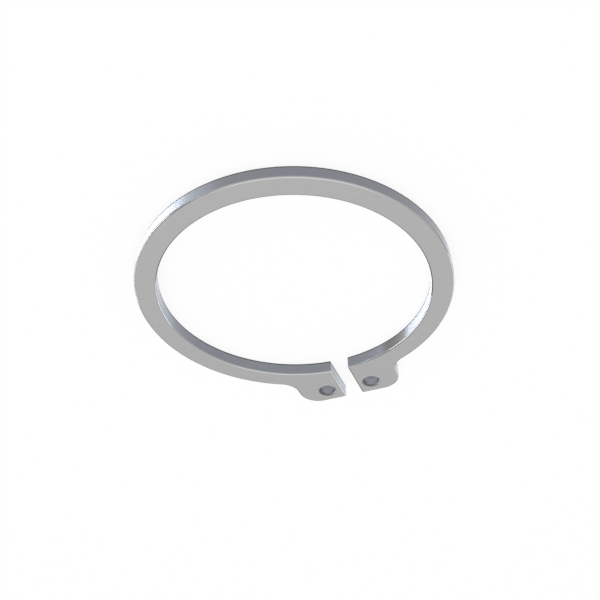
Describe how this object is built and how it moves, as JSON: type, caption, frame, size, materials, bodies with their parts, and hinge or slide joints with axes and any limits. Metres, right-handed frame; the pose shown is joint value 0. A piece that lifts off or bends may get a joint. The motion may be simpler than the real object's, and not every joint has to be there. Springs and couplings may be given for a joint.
{
  "type": "external retaining ring",
  "caption": "Flat open retaining ring with constant-width band, plier lugs either side of a narrow gap, and rounded edges.",
  "frame": {"origin": "on the ring's axis, halfway through its thickness", "axes": "+Z along the ring's axis, out of its upper face; -Y toward the middle of the gap; +X toward the right lug's side"},
  "size_m": [0.0322, 0.0355, 0.0016],
  "materials": {
    "spring_steel": "satin, tumbled edges"
  },
  "bodies": {
    "root": {"ring": "spring_steel"}
  },
  "joints": []
}
